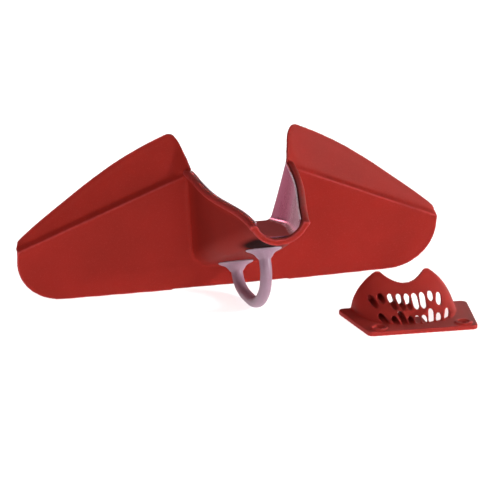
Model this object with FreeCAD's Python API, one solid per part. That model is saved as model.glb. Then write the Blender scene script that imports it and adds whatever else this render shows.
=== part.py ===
import FreeCAD, Part
import math
import os
from FreeCAD import Vector

# Winged cradle moulding with a lined U-shaped throat and a grip loop under it,
# and the separate slotted strainer hood that stands in front of its right wing.
# Millimetres. +X is the right wing, +Y is the back, Z=0 is the table.
# The shell is drawn with the middle of its bottom edge at the origin; the whole
# set is moved at the end so that the middle of its footprint is the origin.

# ---- driving dimensions: wings -------------------------------------------------
WALL = 2.4                     # wing panel thickness
LEAN = 0.2143                  # forward lean of the lower panel, mm per mm of height
SWEEP = 0.034                  # backward sweep of each wing, mm per mm of span
HALF_SPAN = 215.0
TIP_HEIGHT = 54.1              # height of the crease at the wing tip
CREASE_IN = (49.9, 124.0)      # crease at the throat: across, up
TIP_CORNER = (47.5, 44.0)      # rounded bottom corner: across, up
LEDGE_BACK = 6.0               # the crease steps back ...
LEDGE_UP = 3.5                 # ... and up, before the flap starts
PEAK = Vector(57.1, -3.1, 163.5)
PEAK_ROUND = 9.0
FLAP_TOP = [(81.0, 152.8), (110.0, 137.7), (139.5, 118.9), (169.2, 97.6), (199.1, 75.2)]
FLAP_TIP = (212.8, 63.6)
CURL_FOOT = 12.0               # the flap curls forward over this much of its inner end
CURL_CORNER = Vector(48.7, -28.0, 129.2)

# ---- driving dimensions: throat ------------------------------------------------
# stations along the throat: back distance, half width at the rim, rim height
RIM = [
    (-153.5, 22.6, 106.3), (-147.5, 23.4, 108.8), (-139.0, 25.3, 111.3),
    (-129.0, 27.8, 113.5), (-116.0, 31.4, 115.2), (-101.5, 35.5, 116.3),
    (-89.0, 39.1, 117.4), (-78.0, 42.0, 118.8), (-61.0, 45.4, 121.9),
    (-45.0, 47.4, 125.8), (-25.0, 49.6, 129.0), (-6.0, 50.4, 130.5),
]
RIM_WIDTH = 6.5                # bead turned outward along the top of the walls
RIM_HEIGHT = 6.0
SKIN = 2.6                     # throat wall
UNDER_FRONT = 88.4             # underside height at the lip
UNDER_SLOPE = 0.435            # underside falls toward the back
LIP_FRONT, LIP_BACK = -155.0, -148.5
LIP_FLOOR, LIP_UNDER = 91.0, 85.0
LIP_SIDE = 4.0                 # lip thickness at its two ends
LIP_END_DROP = 5.2
LINER = 1.0                    # liner sheet
LINER_GAP = 1.2                # between liner and throat wall at the rim
LINER_FLOOR_FRONT, LINER_FLOOR_BACK = 92.8, 68.0
PAD_CLEAR = 0.15               # between a pad and the walls beside it

# ---- driving dimensions: grip loop ---------------------------------------------
LOOP_RADIUS = 5.7
FOOT_FLARE = [(0.0, 18.0, 8.4), (1.4, 17.7, 8.3), (3.4, 13.4, 7.6), (7.0, 8.6, 6.5),
              (10.0, 5.72, 5.7)]   # below the shell, half width across, half length
LOOP_REAR, LOOP_FRONT = -14.8, -103.5   # where the two feet sit, from the back
LOOP_LEAD = 8.0                # straight lead out of each foot
LOOP_TURNS = [(-112.5, 47.0), (-109.5, 29.0), (-94.0, 13.0), (-74.0, 5.7), (-44.0, 5.7),
              (-30.0, 9.0), (-22.0, 15.0)]     # corners of the loop's centre line: back, up
SCREW_R, SCREW_HEAD_R, SCREW_HEAD_H, SCREW_GRIP = 2.0, 3.7, 2.6, 12.0
WASHER_R, WASHER_H = 5.2, 1.0

# ---- driving dimensions: strainer hood -----------------------------------------
HOOD_AT = (131.4, -156.7)
HOOD_TURN = -5.3
PLATE_FRONT, PLATE_BACK, PLATE_DEPTH, PLATE_H = 52.6, 63.2, 75.8, 4.5
PLATE_SKEW = 2.0               # the plate's back left corner reaches this much further out
PLATE_ROUND = 6.0
DOME_SHIFT = -2.0              # dome sits a little left of the middle of its plate
HOOD_WALL = 4.2
# the dome's left part is solid up to this line in plan: across, back
SOLID_EDGE = [(-1.5, 9.0), (-12.0, 13.8), (-20.0, 20.5), (-27.0, 32.0)]
WEB_EDGE, WEB_BACK, WEB_H = 9.0, 4.0, 3.0   # floor web beside it: right end, back end, height
# dome rings: height, half width, reach forward, squareness of the plan
DOME_RINGS = [(0.0, 49.8, 65.5, 2.7), (8.0, 48.8, 56.5, 2.5), (16.0, 46.5, 43.5, 2.3),
              (24.0, 42.1, 28.0, 2.1), (32.0, 35.4, 13.5, 2.0), (39.5, 26.3, 6.0, 2.0)]
SADDLE_R, SADDLE_LOW = 30.5, 30.4
SLOT_W = 5.4
FAN_DROP = 30.0                # slots fan out from an axis this far below the table
# slot rows: sideways offset, angle between rays, and the lowest and highest point of the
# slots on the middle ray, then on the ones further and further out
SLOT_ROWS = [
    (-3.0, 8.3, [(13.6, 23.8), (13.6, 23.8), (13.8, 23.8), (17.8, 23.8), (14.4, 21.6)]),
    (1.2, 10.0, [(3.4, 10.0), (3.4, 10.0), (3.4, 13.4), (3.4, 9.8), (3.4, 10.6)]),
]
BOSS_AT = (40.8, -28.0)
BOSS_R, BOSS_H, BOSS_RECESS_R, BOSS_RECESS, SCREW_HOLE_R = 8.2, 1.8, 5.4, 1.4, 2.75

os.makedirs("parts", exist_ok=True)

UP = Vector(0, 0, 1)
UNDER_ANGLE = math.atan(UNDER_SLOPE)
SKIN_NORMAL = SKIN * math.cos(UNDER_ANGLE)     # throat wall measured square to the floor
ALONG = Vector(0, -math.cos(UNDER_ANGLE), math.sin(UNDER_ANGLE))
BELOW = Vector(0, -math.sin(UNDER_ANGLE), -math.cos(UNDER_ANGLE))


# ---- helpers -------------------------------------------------------------------
def box(x0, x1, y0, y1, z0, z1):
    return Part.makeBox(x1 - x0, y1 - y0, z1 - z0, Vector(x0, y0, z0))


def spline(points):
    curve = Part.BSplineCurve()
    curve.interpolate(points)
    return curve.toShape()


def line(a, b):
    return Part.makeLine(a, b)


def arc(a, b, c):
    return Part.Arc(a, b, c).toShape()


def plate(edges, push):
    return Part.Face(Part.Wire(edges)).extrude(push)


def mirrored(shape):
    return shape.mirror(Vector(0, 0, 0), Vector(1, 0, 0))


def joined(shapes):
    whole = shapes[0].fuse(shapes[1:])
    return whole.removeSplitter()


# ---- wings ---------------------------------------------------------------------
def on_panel(x, z):
    return Vector(x, SWEEP * x - LEAN * z, z)


def wing():
    round_x, round_z = TIP_CORNER
    centre = (HALF_SPAN - 0.5 - round_x, round_z)
    corner = [on_panel(centre[0] + round_x * math.sin(math.radians(a)),
                       centre[1] - round_z * math.cos(math.radians(a)))
              for a in range(0, 91, 15)]
    tip = on_panel(HALF_SPAN, TIP_HEIGHT)
    inner = on_panel(*CREASE_IN)
    slope = (inner - tip) * (1.0 / (HALF_SPAN - CREASE_IN[0]))
    top = inner + slope * 4.0
    foot, head = on_panel(0, 0), on_panel(0, top.z)
    back = Vector(-SWEEP, 1, LEAN).normalize() * WALL
    panel = plate([line(foot, corner[0]), spline(corner), line(corner[-1], tip),
                   line(tip, top), line(top, head), line(head, foot)], back)

    step = Vector(0, LEDGE_BACK, LEDGE_UP)
    low_in, low_out = inner + step, tip + step
    lip_normal = (tip - inner).cross(step).normalize() * WALL
    if lip_normal.z > 0:
        lip_normal = lip_normal * -1.0
    ledge = plate([line(inner, tip), line(tip, low_out), line(low_out, low_in),
                   line(low_in, inner)], lip_normal)

    normal = (low_out - low_in).cross(PEAK - low_in).normalize()
    if normal.y < 0:
        normal = normal * -1.0

    def on_flap(x, z):
        y = low_in.y - (normal.x * (x - low_in.x) + normal.z * (z - low_in.z)) / normal.y
        return Vector(x, y, z)

    top_points = [on_flap(x, z) for x, z in FLAP_TOP] + [on_flap(*FLAP_TIP)]
    toward_in = (low_in - PEAK).normalize()
    toward_tip = (top_points[0] - PEAK).normalize()
    round_a = PEAK + toward_in * PEAK_ROUND
    round_b = PEAK + toward_tip * PEAK_ROUND
    round_mid = PEAK + (toward_in + toward_tip) * (PEAK_ROUND * 0.36)
    drop = on_flap(low_in.x, low_in.z - WALL) - low_in
    flap = plate([line(low_in + drop, round_a), arc(round_a, round_mid, round_b),
                  spline([round_b] + top_points), line(top_points[-1], low_out + drop),
                  line(low_out + drop, low_in + drop)], normal * WALL)

    curl_foot = low_in - slope * CURL_FOOT
    facing = (curl_foot - CURL_CORNER).cross(round_a - CURL_CORNER).normalize()
    if facing.y < 0:
        facing = facing * -1.0
    curl = plate([line(CURL_CORNER, round_a), line(round_a, curl_foot),
                  line(curl_foot, CURL_CORNER)], facing * WALL)
    return panel, ledge, flap, curl


# ---- throat --------------------------------------------------------------------
def share(y, front=-150.0, back=-12.0):
    return min(1.0, max(0.0, (y - front) / (back - front)))


def mix(a, b, t):
    return a + (b - a) * t


def u_points(y, half, top, floor, corner, lean, out=0.0):
    """Right-hand points of a U section, pushed outward by out."""
    a = math.radians(lean)
    touch_z = floor + corner - corner * math.sin(a)
    cx = half - math.tan(a) * (top - touch_z) - corner * math.cos(a)
    cz = floor + corner
    r = corner + out
    mid = (math.radians(-90) - a) / 2.0
    return [
        Vector(half + out * math.cos(a), y, top - out * math.sin(a)),
        Vector(cx + r * math.cos(a), y, cz - r * math.sin(a)),
        Vector(cx + r * math.cos(mid), y, cz + r * math.sin(mid)),
        Vector(cx, y, cz - r),
    ]


def left(p):
    return Vector(-p.x, p.y, p.z)


def u_path(pts):
    a, b, m, c = pts
    return [line(a, b), arc(b, m, c), line(c, left(c)), arc(left(c), left(m), left(b)),
            line(left(b), left(a))]


def u_band(args, thick):
    """Closed wire of a U-shaped sheet of the given thickness."""
    inner, outer = u_points(*args), u_points(*args, out=thick)
    edges = u_path(inner) + [line(left(inner[0]), left(outer[0]))]
    edges += [line(left(outer[0]), left(outer[1])),
              arc(left(outer[1]), left(outer[2]), left(outer[3])),
              line(left(outer[3]), outer[3]), arc(outer[3], outer[2], outer[1]),
              line(outer[1], outer[0]), line(outer[0], inner[0])]
    return Part.Wire(edges)


def u_closed(args, out, top):
    """Closed wire of the space inside a U section, carried up to a level."""
    pts = u_points(*args, out=out)
    high = Vector(pts[0].x, pts[0].y, top)
    edges = u_path(pts) + [line(left(pts[0]), left(high)), line(left(high), high),
                           line(high, pts[0])]
    return Part.Wire(edges)


def skin_args(y, half, top):
    t = share(y)
    floor = UNDER_FRONT - UNDER_SLOPE * (y + 150.0) + SKIN
    return (y, half, top - 0.6, floor, mix(18.4, 15.0, t), mix(4.0, 8.0, t))


def liner_args(y, half, top):
    t = share(y)
    floor = mix(LINER_FLOOR_FRONT, LINER_FLOOR_BACK, (y + 150.0) / 136.0)
    return (y, half - LINER_GAP - LINER, top - 1.4, floor, mix(12.5, 6.0, t),
            mix(4.0, 12.0, t))


def loft(wires):
    return Part.makeLoft(wires, True, False)


def behind_panel(extra):
    """Everything behind the back of the lower panel."""
    low, high = -60.0, 260.0
    pts = [Vector(-80, -LEAN * low + extra, low), Vector(-80, -LEAN * high + extra, high),
           Vector(-80, 120, high), Vector(-80, 120, low), Vector(-80, -LEAN * low + extra, low)]
    return Part.Face(Part.makePolygon(pts)).extrude(Vector(160, 0, 0))


def rim_bead(side):
    wires = []
    for y, half, top in RIM:
        x0, x1 = side * half, side * (half + RIM_WIDTH)
        z0, z1 = top - RIM_HEIGHT, top
        cut = 1.6
        xc = x1 - side * cut
        pts = [Vector(x0, y, z0), Vector(x0, y, z1), Vector(xc, y, z1), Vector(x1, y, z1 - cut),
               Vector(x1, y, z0 + cut), Vector(xc, y, z0), Vector(x0, y, z0)]
        wires.append(Part.makePolygon(pts))
    return Part.makeLoft(wires, True, True)


def lip():
    y = LIP_FRONT
    _, half, top = RIM[0]
    outer, side = half + RIM_WIDTH, half + LIP_SIDE
    ear, low = top - 3.0, top - LIP_END_DROP
    inner_arc = arc(Vector(half, y, top), Vector(0, y, LIP_FLOOR), Vector(-half, y, top))
    outer_arc = arc(Vector(-side, y, low), Vector(0, y, LIP_UNDER), Vector(side, y, low))
    right = [Vector(side, y, low), Vector(side, y, ear), Vector(outer, y, ear),
             Vector(outer, y, top), Vector(half, y, top)]
    edges = [inner_arc, outer_arc]
    for p, q in zip(right, right[1:]):
        edges += [line(p, q), line(left(p), left(q))]
    edges = Part.__sortEdges__(edges)
    return plate(edges, Vector(0, LIP_BACK - LIP_FRONT, 0))


def foot_point(y):
    return Vector(0, y, UNDER_FRONT - UNDER_SLOPE * (y + 150.0))


def throat_parts():
    stations = RIM[1:]
    skin = loft([u_band(skin_args(*s), SKIN) for s in stations])
    cavity = loft([u_closed(skin_args(*s), 0.0, 200.0) for s in RIM + [(30.0, 51.0, 131.0)]])
    liner = loft([u_band(liner_args(*s), LINER) for s in stations])
    return skin, cavity, liner


def pads():
    """Two pads beside the liner and a block under it, in the gap between it and the wall."""
    room = loft([u_closed(skin_args(*s), -PAD_CLEAR, 200.0) for s in RIM[1:]])
    room = room.cut(loft([u_closed(liner_args(*s), LINER + PAD_CLEAR, 200.0)
                          for s in RIM[1:]]))
    return [room.common(box(30, 60, -88, -48, 92, 108)),
            room.common(box(-60, -30, -88, -48, 92, 108)),
            room.common(box(-20, 20, -76, -60, 40, 100))]


# ---- grip loop -----------------------------------------------------------------
def ellipse_wire(centre, across, along):
    curve = Part.Ellipse(centre + Vector(1, 0, 0) * across, centre + ALONG * along, centre)
    return Part.Wire([curve.toShape()])


def foot(y):
    base = foot_point(y)
    return loft([ellipse_wire(base + BELOW * d, across, length)
                 for d, across, length in FOOT_FLARE])


def rounded_path(points):
    """Straight runs joined by tangent arcs, each as large as its two runs allow."""
    edges, last = [], points[0]
    for before, corner, after in zip(points, points[1:], points[2:]):
        to_before, to_after = before - corner, after - corner
        cut = 0.45 * min(to_before.Length, to_after.Length)
        a, b = to_before.normalize(), to_after.normalize()
        half_turn = (math.pi - a.getAngle(b)) / 2.0
        radius = cut / math.tan(half_turn)
        inward = (a + b).normalize()
        start, end = corner + a * cut, corner + b * cut
        middle = corner + inward * (radius / math.cos(half_turn) - radius)
        edges += [line(last, start), arc(start, middle, end)]
        last = end
    return Part.Wire(edges + [line(last, points[-1])])


def grip_loop():
    front = foot_point(LOOP_FRONT) + BELOW * LOOP_LEAD
    rear = foot_point(LOOP_REAR) + BELOW * LOOP_LEAD
    path = rounded_path([front] + [Vector(0, y, z) for y, z in LOOP_TURNS] + [rear])
    ring = Part.Wire([Part.Circle(front, BELOW, LOOP_RADIUS).toShape()])
    body = joined([path.makePipeShell([ring], True, False), foot(LOOP_FRONT), foot(LOOP_REAR)])
    for y in (LOOP_FRONT, LOOP_REAR):
        body = body.cut(Part.makeCylinder(SCREW_R + 0.05, SCREW_GRIP + 0.6,
                                          foot_point(y) - BELOW * 0.2, BELOW))
    return body


def loop_screw(y):
    seat = foot_point(y) - BELOW * (SKIN_NORMAL + WASHER_H)
    head = Part.makeCylinder(SCREW_HEAD_R, SCREW_HEAD_H, seat - BELOW * SCREW_HEAD_H, BELOW)
    head = head.makeFillet(1.0, [e for e in head.Edges
                                 if e.CenterOfMass.sub(seat - BELOW * SCREW_HEAD_H).Length < 0.01])
    shank = Part.makeCylinder(SCREW_R, SKIN_NORMAL + WASHER_H + SCREW_GRIP, seat, BELOW)
    slot = Part.makeBox(1.0, 9.0, 1.1)
    slot.translate(Vector(-0.5, -4.5, 0))
    slot.rotate(Vector(0, 0, 0), Vector(1, 0, 0), -math.degrees(UNDER_ANGLE))
    slot.translate(seat - BELOW * (SCREW_HEAD_H - 0.9))
    return head.fuse(shank).cut(slot)


def washer(y):
    seat = foot_point(y) - BELOW * SKIN_NORMAL
    disc = Part.makeCylinder(WASHER_R, WASHER_H, seat - BELOW * WASHER_H, BELOW)
    return disc.cut(Part.makeCylinder(SCREW_R + 0.25, 4, seat - BELOW * 2.5, BELOW))


# ---- strainer hood -------------------------------------------------------------
def dome_wire(z, across, reach, squareness, back):
    """Squared half oval, from the right end, round the front, to the left."""
    pts = []
    for k in range(17):
        a = math.pi * k / 16.0
        c, d = math.cos(a), math.sin(a)
        x = across * math.copysign(abs(c) ** (2.0 / squareness), c)
        y = back - reach * abs(d) ** (2.0 / squareness)
        pts.append(Vector(DOME_SHIFT + x, y, z))
    pts[0].y = pts[-1].y = back
    return Part.Wire([spline(pts), line(pts[-1], pts[0])])


def strainer_hood():
    back = PLATE_DEPTH / 2.0
    corners = [Vector(-PLATE_FRONT, -back, 0), Vector(PLATE_FRONT, -back, 0),
               Vector(PLATE_BACK, back, 0), Vector(-PLATE_BACK - PLATE_SKEW, back, 0),
               Vector(-PLATE_FRONT, -back, 0)]
    base = Part.Face(Part.makePolygon(corners)).extrude(UP * PLATE_H)
    upright = [e for e in base.Edges if abs(e.tangentAt(e.FirstParameter).z) > 0.99]
    base = base.makeFillet(PLATE_ROUND, upright)
    rim = [e for e in base.Edges if abs(e.CenterOfMass.z - PLATE_H) < 1e-6]
    base = base.makeFillet(0.8, rim)

    outer = loft([dome_wire(z, a, b, n, back) for z, a, b, n in DOME_RINGS])
    low, high = DOME_RINGS[0], DOME_RINGS[-1]
    inner_rings = [(-1.0, low[1] + 0.2, low[2] + 1.0, low[3])] + DOME_RINGS[1:-1]
    inner_rings += [(high[0] + 1.0, high[1] - 0.9, high[2] - 1.0, high[3])]
    inner = loft([dome_wire(z, a - HOOD_WALL, b - HOOD_WALL, n, back + 0.01)
                  for z, a, b, n in inner_rings])
    inner = inner.fuse(inner.translated(Vector(0, 2.5, 0)))

    bosses = [Part.makeCylinder(BOSS_R, BOSS_H + 1, Vector(s * BOSS_AT[0], BOSS_AT[1], PLATE_H - 1))
              for s in (-1, 1)]
    body = joined([base, outer] + bosses)
    outline = [(SOLID_EDGE[0][0], -60)] + SOLID_EDGE + [(SOLID_EDGE[-1][0] - 1, 60), (-90, 60),
                                                        (-90, -60), (SOLID_EDGE[0][0], -60)]
    outline = Part.makePolygon([Vector(x, y, -5) for x, y in outline])
    solid_part = Part.Face(outline).extrude(UP * 80)
    web = base.common(box(-20, WEB_EDGE, -back, WEB_BACK, 0, WEB_H))
    body = body.cut(inner.cut(solid_part)).fuse(web).removeSplitter()
    saddle = Part.makeCylinder(SADDLE_R, 120, Vector(DOME_SHIFT, -60, SADDLE_LOW + SADDLE_R),
                               Vector(0, 1, 0))
    body = body.cut(saddle)

    cutters = []
    for offset, pitch, heights in SLOT_ROWS:
        for k in range(1 - len(heights), len(heights)):
            low, high = heights[abs(k)]
            stretch = math.cos(math.radians(k * pitch))
            near = (FAN_DROP + low) / stretch + SLOT_W / 2.0
            far = (FAN_DROP + high) / stretch - SLOT_W / 2.0
            blade = box(-SLOT_W / 2, SLOT_W / 2, -back, back - 9.0, near, far)
            for end in (near, far):
                blade = blade.fuse(Part.makeCylinder(SLOT_W / 2, PLATE_DEPTH - 9.0,
                                                     Vector(0, -back, end), Vector(0, 1, 0)))
            blade.translate(Vector(DOME_SHIFT + offset, 0, -FAN_DROP))
            blade.rotate(Vector(DOME_SHIFT + offset, 0, -FAN_DROP), Vector(0, 1, 0), k * pitch)
            cutters.append(blade)
    keep = box(-80, 80, -60, 60, PLATE_H, 60)
    blades = cutters[0].fuse(cutters[1:]).common(keep)
    for s in (-1, 1):
        ring = Part.makeCylinder(BOSS_R + 1.6, 60, Vector(s * BOSS_AT[0], BOSS_AT[1], -5))
        blades = blades.cut(ring)
    body = body.cut(blades)

    for s in (-1, 1):
        spot = Vector(s * BOSS_AT[0], BOSS_AT[1], 0)
        body = body.cut(Part.makeCylinder(SCREW_HOLE_R, 30, spot - UP * 5))
        body = body.cut(Part.makeCylinder(BOSS_RECESS_R, 10, spot + UP * (PLATE_H + BOSS_H - BOSS_RECESS)))
    body.rotate(Vector(0, 0, 0), UP, HOOD_TURN)
    body.translate(Vector(HOOD_AT[0], HOOD_AT[1], 0))
    return body


# ---- assembly ------------------------------------------------------------------
def build():
    skin, cavity, liner = throat_parts()
    cutoff = behind_panel(WALL)
    wings = []
    for piece in wing():
        wings += [piece, mirrored(piece)]
    wings = [piece.cut(cavity) for piece in wings[:2]] + wings[2:]
    throat = [piece.cut(cutoff) for piece in (skin, rim_bead(1), rim_bead(-1))]
    shell = joined(wings + throat + [lip()])
    for y in (LOOP_FRONT, LOOP_REAR):
        shell = shell.cut(Part.makeCylinder(SCREW_R + 0.3, 12, foot_point(y) - BELOW * 6, BELOW))

    pad_right, pad_left, support = pads()
    return {
        "wing_shell": shell,
        "throat_liner": liner.cut(cutoff),
        "liner_pad_right": pad_right,
        "liner_pad_left": pad_left,
        "liner_support": support,
        "grip_loop": grip_loop(),
        "loop_screw_front": loop_screw(LOOP_FRONT),
        "loop_screw_rear": loop_screw(LOOP_REAR),
        "loop_washer_front": washer(LOOP_FRONT),
        "loop_washer_rear": washer(LOOP_REAR),
        "strainer_hood": strainer_hood(),
    }


parts = build()
whole = Part.makeCompound(list(parts.values())).optimalBoundingBox()
shift = Vector(-(whole.XMin + whole.XMax) / 2, -(whole.YMin + whole.YMax) / 2, -whole.ZMin)
for name, shape in parts.items():
    shape.translate(shift)
    shape.exportStep("parts/" + name + ".step")
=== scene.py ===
import math

import bmesh
import bpy
import numpy as np
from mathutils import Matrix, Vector


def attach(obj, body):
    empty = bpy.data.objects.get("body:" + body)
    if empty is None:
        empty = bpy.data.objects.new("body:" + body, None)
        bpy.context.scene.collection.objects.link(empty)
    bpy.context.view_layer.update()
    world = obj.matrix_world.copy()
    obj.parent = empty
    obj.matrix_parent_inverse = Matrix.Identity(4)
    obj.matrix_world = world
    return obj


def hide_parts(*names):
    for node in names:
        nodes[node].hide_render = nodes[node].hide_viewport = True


# Winged moulding with a lined throat and a grip loop, and its loose strainer hood.
# Metres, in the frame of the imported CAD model: +X right wing, +Y back, Z=0 the table.

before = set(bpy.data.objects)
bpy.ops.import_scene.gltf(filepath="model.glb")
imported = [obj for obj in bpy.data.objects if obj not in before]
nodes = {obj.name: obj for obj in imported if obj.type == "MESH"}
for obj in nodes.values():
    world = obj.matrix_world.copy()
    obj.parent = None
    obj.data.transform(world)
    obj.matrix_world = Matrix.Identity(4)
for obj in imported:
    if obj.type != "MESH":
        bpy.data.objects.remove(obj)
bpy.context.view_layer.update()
scene = bpy.context.scene

CAMERA_AT = (-0.73146, -2.28446, 0.78659)
CAMERA_TURN = (math.radians(73.237), 0.0, math.radians(-17.509))
CAMERA_LENS = 191.1            # on a 36 mm sensor

SHELL_VOXEL, HOOD_VOXEL, LOOP_VOXEL = 0.0009, 0.00055, 0.0007
# smoothing passes that soften the moulded edges
SHELL_PASSES, HOOD_PASSES, LOOP_PASSES = 4, 3, 5
BLEND_ROUNDS, BLEND_PASSES = 3, 12          # longer smoothing along the folds
STEP = 0.6                     # how far one pass moves a point toward its neighbours' middle
# the throat's rim: y, half width, height
RIM = [(-0.0522, 0.0234, 0.1088), (-0.0437, 0.0253, 0.1113), (-0.0337, 0.0278, 0.1135),
       (-0.0207, 0.0314, 0.1152), (-0.0062, 0.0355, 0.1163), (0.0063, 0.0391, 0.1174),
       (0.0173, 0.0420, 0.1188), (0.0343, 0.0454, 0.1219), (0.0503, 0.0474, 0.1258),
       (0.0700, 0.0496, 0.1290)]
# the liner's hem: its radius, and how far it sits inside and below the rim
HEM_RADIUS, HEM_IN, HEM_DOWN = 0.0007, 0.0019, 0.0019
PANEL_FOOT, PANEL_LEAN = 0.0953, 0.2143     # the lower panel's front face: y at z=0, lean
UNDER_AT, UNDER_FALL = 0.0646, 0.435        # the throat's underside: z at y=0, fall per metre
FLAP_FOLD = ((0.0619, 0.0779, 0.1224), (0.0555, 0.0886, 0.1554))   # right-hand fold's ends
FOLD_WIDTH = 0.006
ROOT_HALF, ROOT_TOP = 0.060, 0.118          # the throat's root lies within these: x, z
LIP_BACK = -0.053                           # the painted throat shade stops here
# the painted shade in the corner behind the lip: middle y, reach in y, half width, height above
# the underside
CORNER_AT, CORNER_REACH, CORNER_HALF, CORNER_LIFT = -0.033, 0.020, 0.026, 0.008
# strength of the painted shade under the throat and in the corner behind the lip
PAINTED_BODY_SHADE, PAINTED_CORNER_SHADE = 0.25, 1.1

# lights: direction toward the light, strength, angle across in degrees
KEY = ((0.85, -0.45, 0.30), 2.9, 14.0)
FRONT = ((-0.12, -1.0, 0.03), 1.5, 30.0)
BACK = ((0.55, 0.80, 0.36), 0.6, 50.0)
GLINT = ((-0.116, 0.983, 0.128), 0.35, 6.0)
FLOOR_SUN = ((0.15, -0.30, 1.0), 3.3, 70.0)
WORLD_GLOW = 0.27
FLOOR_HALF = 12.0


# ---- camera ----------------------------------------------------------------------
def make_camera():
    data = bpy.data.cameras.new("camera")
    data.sensor_width = 36.0
    data.lens = CAMERA_LENS
    data.clip_start, data.clip_end = 0.05, 50.0
    data.dof.use_dof = False
    cam = bpy.data.objects.new("camera", data)
    cam.location = CAMERA_AT
    cam.rotation_euler = CAMERA_TURN
    scene.collection.objects.link(cam)
    scene.camera = cam


# ---- mesh work -------------------------------------------------------------------
def neighbours(mesh):
    """The two point numbers of every edge."""
    edges = np.empty(len(mesh.edges) * 2, np.int32)
    mesh.edges.foreach_get("vertices", edges)
    return edges.reshape(-1, 2)


def read_points(mesh):
    co = np.empty(len(mesh.vertices) * 3, np.float64)
    mesh.vertices.foreach_get("co", co)
    return co.reshape(-1, 3)


def neighbour_mean(values, edges, count):
    total = np.zeros_like(values)
    np.add.at(total, edges[:, 0], values[edges[:, 1]])
    np.add.at(total, edges[:, 1], values[edges[:, 0]])
    return total / np.maximum(count, 1)[:, None]


def relax(points, edges, passes, weight):
    """Moves each point toward the middle of its neighbours, weight by weight."""
    count = np.bincount(edges.ravel(), minlength=len(points))
    for _ in range(passes):
        points = points + (neighbour_mean(points, edges, count) - points) * weight[:, None]
    return points


def soften(node, name, voxel, passes, body, blend=None, painted_shade=None):
    """A moulded copy of a CAD node, with every sharp edge rounded as a mould leaves it."""
    mesh = nodes[node].data.copy()
    piece = bpy.data.objects.new(name, mesh)
    scene.collection.objects.link(piece)
    remesh = piece.modifiers.new("remesh", "REMESH")
    remesh.mode = "VOXEL"
    remesh.voxel_size = voxel
    remesh.adaptivity = 0.0
    depsgraph = bpy.context.evaluated_depsgraph_get()
    made = bpy.data.meshes.new_from_object(piece.evaluated_get(depsgraph))
    piece.modifiers.clear()
    piece.data = made
    made.materials.clear()
    edges = neighbours(made)
    points = read_points(made)
    points = relax(points, edges, passes, np.full(len(points), STEP))
    if blend:
        for _ in range(BLEND_ROUNDS):
            points = relax(points, edges, BLEND_PASSES, STEP * blend(points))
    made.vertices.foreach_set("co", points.ravel())
    made.update()
    mark_edges(made, points, edges, voxel)
    # painted shade: how much the material darkens each point, from the shade function
    layer = made.attributes.new("painted_shade", "FLOAT", "POINT")
    painted_shade_amount = painted_shade(points) if painted_shade else np.zeros(len(points))
    layer.data.foreach_set("value", painted_shade_amount.astype(np.float32))
    made.shade_smooth()
    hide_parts(node)
    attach(piece, body)
    return piece


def mark_edges(mesh, points, edges, voxel):
    """Stores how convex the surface is, so that the finish can wear along edges and carry a
    painted highlight there.
    """
    normals = np.empty(len(mesh.vertices) * 3, np.float64)
    mesh.vertices.foreach_get("normal", normals)
    normals = normals.reshape(-1, 3)
    count = np.bincount(edges.ravel(), minlength=len(points))
    bulge = ((points - neighbour_mean(points, edges, count)) * normals).sum(1) / voxel
    spread = bulge[:, None]
    for _ in range(3):
        spread = spread * 0.4 + neighbour_mean(spread, edges, count) * 0.6
    edge = np.clip(0.5 + spread[:, 0] * 3.0, 0.0, 1.0)
    layer = mesh.attributes.new("edge", "FLOAT", "POINT")
    layer.data.foreach_set("value", edge.astype(np.float32))


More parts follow.
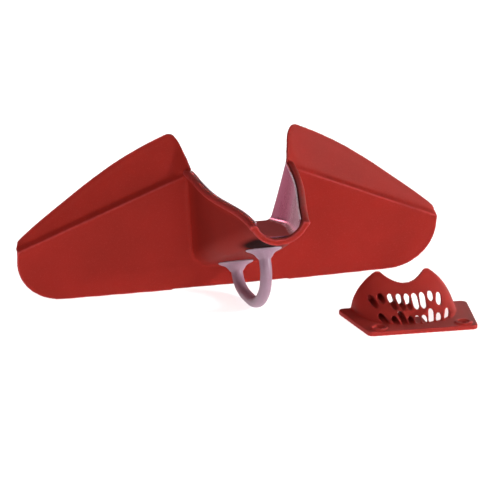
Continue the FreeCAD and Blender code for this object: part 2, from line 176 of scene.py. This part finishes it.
# ---- materials -------------------------------------------------------------------
class Shader:
    """A node material with the object's own coordinates and a few short helpers."""

    def __init__(self, name):
        self.material = bpy.data.materials.new(name)
        self.material.use_nodes = True
        self.tree = self.material.node_tree
        self.bsdf = self.tree.nodes["Principled BSDF"]
        self.coords = self.tree.nodes.new("ShaderNodeTexCoord").outputs["Object"]

    def link(self, a, b):
        self.tree.links.new(a, b)

    def uprightness(self):
        """1 where the surface faces up, 0 where it is a wall."""
        surface = self.tree.nodes.new("ShaderNodeNewGeometry").outputs["Normal"]
        parts = self.tree.nodes.new("ShaderNodeSeparateXYZ")
        self.link(surface, parts.inputs[0])
        return parts.outputs["Z"]

    def noise(self, scale, detail=3.0, rough=0.55, stretch=None):
        node = self.tree.nodes.new("ShaderNodeTexNoise")
        node.inputs["Scale"].default_value = scale
        node.inputs["Detail"].default_value = detail
        node.inputs["Roughness"].default_value = rough
        where = self.coords
        if stretch:
            mapping = self.tree.nodes.new("ShaderNodeMapping")
            mapping.inputs["Scale"].default_value = stretch
            self.link(where, mapping.inputs["Vector"])
            where = mapping.outputs["Vector"]
        self.link(where, node.inputs["Vector"])
        return node.outputs["Fac"]

    def ramp(self, source, stops):
        node = self.tree.nodes.new("ShaderNodeValToRGB")
        ramp = node.color_ramp
        while len(ramp.elements) < len(stops):
            ramp.elements.new(0.5)
        for element, (at, colour) in zip(ramp.elements, stops):
            element.position = at
            element.color = (*colour, 1.0)
        self.link(source, node.inputs["Fac"])
        return node.outputs["Color"]

    def spread(self, source, low, high, to_low, to_high):
        """Maps the range low to high onto to_low to to_high, clamped."""
        node = self.tree.nodes.new("ShaderNodeMapRange")
        for key, value in (("From Min", low), ("From Max", high),
                           ("To Min", to_low), ("To Max", to_high)):
            node.inputs[key].default_value = value
        self.link(source, node.inputs["Value"])
        return node.outputs["Result"]

    def mix(self, factor, a, b):
        node = self.tree.nodes.new("ShaderNodeMix")
        node.data_type = "RGBA"
        for socket, value in ((node.inputs[0], factor), (node.inputs[6], a), (node.inputs[7], b)):
            if isinstance(value, bpy.types.NodeSocket):
                self.link(value, socket)
            elif isinstance(value, (int, float)):
                socket.default_value = value
            else:
                socket.default_value = (*value, 1.0)
        return node.outputs[2]

    def attribute(self, name):
        node = self.tree.nodes.new("ShaderNodeAttribute")
        node.attribute_name = name
        return node.outputs["Fac"]

    def add(self, a, b, scale):
        """a plus b times scale."""
        node = self.tree.nodes.new("ShaderNodeMath")
        node.operation = "MULTIPLY_ADD"
        self.link(b, node.inputs[0])
        node.inputs[1].default_value = scale
        self.link(a, node.inputs[2])
        return node.outputs[0]

    def bump(self, height, strength, distance):
        node = self.tree.nodes.new("ShaderNodeBump")
        node.inputs["Strength"].default_value = strength
        node.inputs["Distance"].default_value = distance
        self.link(height, node.inputs["Height"])
        self.link(node.outputs["Normal"], self.bsdf.inputs["Normal"])


def moulded_plastic(name, base, deep, worn_and_highlight, roughness, specular=0.08):
    """Satin injection-moulded plastic: cloudy flow colour, fine grain, paler edges that are
    partly wear and partly a painted highlight, and near-black painted shade where the mesh marks
    it.
    """
    s = Shader(name)
    clouds = s.noise(16.0, 4.0)
    streaks = s.noise(22.0, 2.0, 0.5, stretch=(1.0, 1.0, 0.25))
    speck = s.noise(1300.0, 2.0)
    body = s.mix(s.spread(clouds, 0.3, 0.7, 0.0, 1.0), deep, base)
    body = s.mix(s.spread(streaks, 0.35, 0.75, 0.0, 0.35), body, deep)
    body = s.mix(s.spread(speck, 0.58, 0.75, 0.0, 0.25), body, worn_and_highlight)
    # paler convex edges: partly wear, partly a painted highlight where edges catch the light
    edge = s.spread(s.attribute("edge"), 0.58, 0.90, 0.0, 0.80)
    body = s.mix(edge, body, worn_and_highlight)
    # painted shade: near black under the throat and in the corner behind its lip
    body = s.mix(s.attribute("painted_shade"), body, tuple(0.05 * c for c in deep))
    s.link(body, s.bsdf.inputs["Base Color"])
    rough = s.spread(clouds, 0.3, 0.7, roughness - 0.05, roughness + 0.07)
    s.link(s.add(rough, s.attribute("painted_shade"), 0.5), s.bsdf.inputs["Roughness"])
    s.bsdf.inputs["Specular IOR Level"].default_value = specular
    relief = s.add(s.noise(1900.0, 2.0), s.noise(140.0, 3.0), 1.6)
    s.bump(relief, 0.35, 0.00005)
    return s.material


def tinted_sheet(name):
    """Thin satin metal liner: mauve walls, finely brushed and smeared, and a duller red floor
    that is a painted reflection of the red moulding around it.
    """
    s = Shader(name)
    smear = s.noise(38.0, 4.0, stretch=(1.0, 1.0, 0.4))
    brush = s.noise(900.0, 2.0, 0.6, stretch=(1.0, 0.05, 1.0))
    tint = s.mix(s.spread(smear, 0.3, 0.7, 0.0, 1.0), (0.25, 0.055, 0.085), (0.36, 0.10, 0.15))
    tint = s.mix(s.spread(brush, 0.3, 0.7, 0.0, 0.2), tint, (0.44, 0.18, 0.25))
    level = s.uprightness()
    # painted reflection: the up-facing floor is tinted a duller red for the red moulding it
    # mirrors
    tint = s.mix(s.spread(level, 0.60, 0.95, 0.0, 0.9), tint, (0.60, 0.11, 0.10))
    s.link(tint, s.bsdf.inputs["Base Color"])
    s.link(s.spread(level, 0.65, 0.95, 0.55, 0.0), s.bsdf.inputs["Metallic"])
    s.link(s.spread(level, 0.65, 0.95, 0.12, 0.0), s.bsdf.inputs["Specular IOR Level"])
    s.bsdf.inputs["Specular Tint"].default_value = (0.62, 0.25, 0.36, 1.0)
    s.link(s.spread(smear, 0.25, 0.75, 0.24, 0.36), s.bsdf.inputs["Roughness"])
    s.bump(s.add(brush, s.noise(60.0, 2.0), 2.0), 0.2, 0.00004)
    return s.material


def foam(name):
    s = Shader(name)
    cells = s.noise(800.0, 4.0, 0.7)
    s.link(s.ramp(cells, [(0.3, (0.012, 0.011, 0.011)), (0.7, (0.06, 0.055, 0.055))]),
           s.bsdf.inputs["Base Color"])
    s.link(s.spread(cells, 0.3, 0.7, 0.8, 0.95), s.bsdf.inputs["Roughness"])
    s.bump(cells, 0.8, 0.0003)
    return s.material


def plain_steel(name):
    s = Shader(name)
    turned = s.noise(700.0, 3.0, 0.6, stretch=(1.0, 1.0, 0.1))
    s.link(s.ramp(turned, [(0.3, (0.48, 0.48, 0.49)), (0.7, (0.66, 0.66, 0.67))]),
           s.bsdf.inputs["Base Color"])
    s.bsdf.inputs["Metallic"].default_value = 1.0
    s.link(s.spread(turned, 0.3, 0.7, 0.25, 0.42), s.bsdf.inputs["Roughness"])
    s.bump(turned, 0.25, 0.00003)
    return s.material


def painted_highlight_edge(name):
    """The liner's trimmed edge, made bright as a painted highlight along it."""
    s = Shader(name)
    nicks = s.noise(420.0, 3.0)
    s.link(s.ramp(nicks, [(0.35, (0.62, 0.34, 0.42)), (0.6, (0.86, 0.68, 0.75))]),
           s.bsdf.inputs["Base Color"])
    s.bsdf.inputs["Metallic"].default_value = 0.3
    s.link(s.spread(nicks, 0.3, 0.7, 0.25, 0.45), s.bsdf.inputs["Roughness"])
    s.bump(nicks, 0.3, 0.0001)
    return s.material


def dress(piece, material):
    piece.data.materials.clear()
    piece.data.materials.append(material)


# ---- pieces ----------------------------------------------------------------------
def liner_hem():
    """A fine rolled edge along the top of the liner, on both sides."""
    curve = bpy.data.curves.new("hem_curve", "CURVE")
    curve.dimensions = "3D"
    curve.bevel_depth, curve.bevel_resolution = HEM_RADIUS, 3
    curve.use_fill_caps = True
    for side in (-1, 1):
        line = curve.splines.new("NURBS")
        line.points.add(len(RIM) - 1)
        for point, (y, half, top) in zip(line.points, RIM):
            point.co = (side * (half - HEM_IN), y, top - HEM_DOWN, 1.0)
        line.order_u = 4
        line.use_endpoint_u = True
    drawn = bpy.data.objects.new("hem_curve", curve)
    scene.collection.objects.link(drawn)
    depsgraph = bpy.context.evaluated_depsgraph_get()
    mesh = bpy.data.meshes.new_from_object(drawn.evaluated_get(depsgraph))
    bpy.data.objects.remove(drawn)
    mesh.shade_smooth()
    hem = bpy.data.objects.new("liner_hem", mesh)
    scene.collection.objects.link(hem)
    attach(hem, "moulding")
    return hem


def soft_folds(points):
    """Full where the throat runs into the panel and along each flap's inner fold."""
    side = np.abs(points) * (1, 0, 0) + points * (0, 1, 1)
    front = PANEL_FOOT - PANEL_LEAN * side[:, 2]
    root = np.exp(-((side[:, 1] - front) / FOLD_WIDTH) ** 2)
    root *= (side[:, 0] < ROOT_HALF) & (side[:, 2] < ROOT_TOP)
    fold_low, fold_high = np.array(FLAP_FOLD[0]), np.array(FLAP_FOLD[1])
    run = fold_high - fold_low
    t = np.clip((side - fold_low) @ run / (run @ run), 0.0, 1.0)
    away = np.linalg.norm(side - fold_low - t[:, None] * run, axis=1)
    return np.maximum(root, np.exp(-(away / FOLD_WIDTH) ** 2))


def painted_throat_shade(points):
    """Painted shade: darker under the throat, and darkest in the corner behind its lip."""
    x, y, z = np.abs(points[:, 0]), points[:, 1], points[:, 2]
    ahead = PANEL_FOOT - PANEL_LEAN * z - y
    rim = np.interp(y, [a - 0.006 for a, _, _ in RIM], [top - 0.007 for _, _, top in RIM])
    body = np.clip(ahead / 0.020, 0.0, 1.0) * np.clip((rim - z) / 0.006, 0.0, 1.0)
    body *= np.clip((y - LIP_BACK) / 0.004, 0.0, 1.0)
    corner = np.exp(-((y - CORNER_AT) / CORNER_REACH) ** 4 - (x / CORNER_HALF) ** 6)
    corner *= np.clip((UNDER_AT - UNDER_FALL * y + CORNER_LIFT - z) / 0.005, 0.0, 1.0)
    return np.clip(PAINTED_BODY_SHADE * body + PAINTED_CORNER_SHADE * corner, 0.0, 1.0)


def make_pieces():
    red = moulded_plastic("red_plastic", (0.272, 0.014, 0.009), (0.225, 0.011, 0.006),
                          (0.52, 0.075, 0.080), 0.55)
    red_hood = moulded_plastic("red_strainer_plastic", (0.37, 0.026, 0.020),
                               (0.27, 0.018, 0.012), (0.48, 0.050, 0.052), 0.50)
    mauve = moulded_plastic("grip_plastic", (0.33, 0.205, 0.265), (0.245, 0.14, 0.19),
                            (0.45, 0.38, 0.43), 0.42, 0.3)

    shell = soften("wing_shell", "shell", SHELL_VOXEL, SHELL_PASSES, "moulding",
                   soft_folds, painted_throat_shade)
    dress(shell, red)
    loop = soften("grip_loop", "grip", LOOP_VOXEL, LOOP_PASSES, "moulding")
    dress(loop, mauve)
    hood = soften("strainer_hood", "strainer", HOOD_VOXEL, HOOD_PASSES, "hood")
    dress(hood, red_hood)

    hem = liner_hem()
    # the hem's pale colour is a painted highlight along the liner's top edge
    dress(hem, painted_highlight_edge("liner_painted_highlight_edge"))
    liner_metal, rubber, steel = tinted_sheet("liner_metal"), foam("foam"), plain_steel("steel")
    for node, obj in nodes.items():
        if node == "throat_liner":
            dress(obj, liner_metal)
        elif node.startswith("liner_"):
            dress(obj, rubber)
        elif node.startswith("loop_"):
            dress(obj, steel)


# ---- studio ----------------------------------------------------------------------
def sun(name, toward_light, strength, softness):
    data = bpy.data.lights.new(name, "SUN")
    data.energy, data.angle = strength, math.radians(softness)
    lamp = bpy.data.objects.new(name, data)
    lamp.rotation_euler = Vector(toward_light).to_track_quat("Z", "Y").to_euler()
    scene.collection.objects.link(lamp)
    return lamp


def light_only(name, lamp, *objects):
    """Lets a lamp reach only these objects."""
    group = bpy.data.collections.new(name)
    for obj in objects:
        group.objects.link(obj)
    lamp.light_linking.receiver_collection = group


def make_studio():
    world = bpy.data.worlds.new("studio")
    world.use_nodes = True
    background = world.node_tree.nodes["Background"]
    background.inputs["Color"].default_value = (1.0, 1.0, 1.0, 1.0)
    background.inputs["Strength"].default_value = WORLD_GLOW
    scene.world = world
    sun("key", *KEY)
    sun("front", *FRONT)
    back = sun("back", *BACK)
    light_only("lit_from_behind", back, bpy.data.objects["shell"], bpy.data.objects["strainer"])
    glint = sun("liner_glint", *GLINT)
    light_only("lit_by_glint", glint, nodes["throat_liner"])
    floor_sun = sun("floor_sun", *FLOOR_SUN)

    form = bmesh.new()
    bmesh.ops.create_grid(form, x_segments=1, y_segments=1, size=FLOOR_HALF)
    mesh = bpy.data.meshes.new("floor")
    form.to_mesh(mesh)
    form.free()
    floor = bpy.data.objects.new("floor", mesh)
    scene.collection.objects.link(floor)
    s = Shader("floor")
    s.link(s.ramp(s.noise(3.0), [(0.0, (0.90, 0.90, 0.90)), (1.0, (0.93, 0.93, 0.93))]),
           s.bsdf.inputs["Base Color"])
    s.bsdf.inputs["Roughness"].default_value = 0.9
    dress(floor, s.material)
    light_only("lit_by_floor_sun", floor_sun, floor)
    # nothing but the floor itself blocks this lamp, so the table stays evenly white
    floor_sun.light_linking.blocker_collection = floor_sun.light_linking.receiver_collection


make_camera()
make_pieces()
make_studio()
scene.view_settings.view_transform = "Standard"
